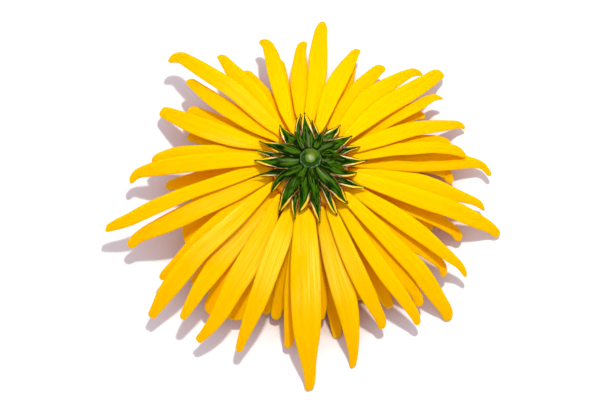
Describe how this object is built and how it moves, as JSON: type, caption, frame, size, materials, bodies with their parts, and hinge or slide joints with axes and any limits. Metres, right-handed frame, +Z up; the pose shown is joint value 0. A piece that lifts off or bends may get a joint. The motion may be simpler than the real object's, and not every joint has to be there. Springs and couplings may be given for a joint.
{
  "type": "chrysanthemum",
  "caption": "Yellow chrysanthemum bloom lying face down: long ray florets spread like an umbrella from a green involucre of pointed bracts with a short cut stem stub on top.",
  "frame": {"origin": "on the surface it rests on, under the middle of the whole bloom's outline; the flower axis stands at x 1.26 mm, y 0.50 mm", "axes": "+Z up along the flower axis, from the packed inner florets it rests on to the cut stem stub; +Y is away from the longest drooping florets, the top of the picture"},
  "size_m": [0.0798, 0.0786, 0.0263],
  "materials": {
    "ray_floret": "soft satin petal, golden yellow, fine lengthwise grooves",
    "inner_floret": "soft satin petal, deeper golden yellow, packed with air between",
    "bract": "satin dark green with pale dry papery margins",
    "stem": "satin green stem, moist paler cut face",
    "receptacle": "matte pale green, hidden between florets and bracts"
  },
  "bodies": {
    "root": {"ray_floret_01": "ray_floret", "ray_floret_02": "ray_floret", "ray_floret_03": "ray_floret", "ray_floret_04": "ray_floret", "ray_floret_05": "ray_floret", "ray_floret_06": "ray_floret", "ray_floret_07": "ray_floret", "ray_floret_08": "ray_floret", "ray_floret_09": "ray_floret", "ray_floret_10": "ray_floret", "ray_floret_11": "ray_floret", "ray_floret_12": "ray_floret", "ray_floret_13": "ray_floret", "ray_floret_14": "ray_floret", "ray_floret_15": "ray_floret", "ray_floret_16": "ray_floret", "ray_floret_17": "ray_floret", "ray_floret_18": "ray_floret", "ray_floret_19": "ray_floret", "ray_floret_20": "ray_floret", "ray_floret_21": "ray_floret", "ray_floret_22": "ray_floret", "ray_floret_23": "ray_floret", "ray_floret_24": "ray_floret", "ray_floret_25": "ray_floret", "ray_floret_26": "ray_floret", "ray_floret_27": "ray_floret", "ray_floret_28": "ray_floret", "ray_floret_29": "ray_floret", "ray_floret_30": "ray_floret", "ray_floret_31": "ray_floret", "ray_floret_32": "ray_floret", "ray_floret_33": "ray_floret", "ray_floret_34": "ray_floret", "ray_floret_35": "ray_floret", "ray_floret_36": "ray_floret", "ray_floret_37": "ray_floret", "ray_floret_38": "ray_floret", "ray_floret_39": "ray_floret", "ray_floret_40": "ray_floret", "bract_01": "bract", "bract_02": "bract", "bract_03": "bract", "bract_04": "bract", "bract_05": "bract", "bract_06": "bract", "bract_07": "bract", "bract_08": "bract", "bract_09": "bract", "bract_10": "bract", "bract_11": "bract", "bract_12": "bract", "bract_13": "bract", "bract_14": "bract", "bract_15": "bract", "bract_16": "bract", "bract_17": "bract", "stem_stub": "stem", "receptacle": "receptacle", "centre_florets": "inner_floret"}
  },
  "joints": []
}
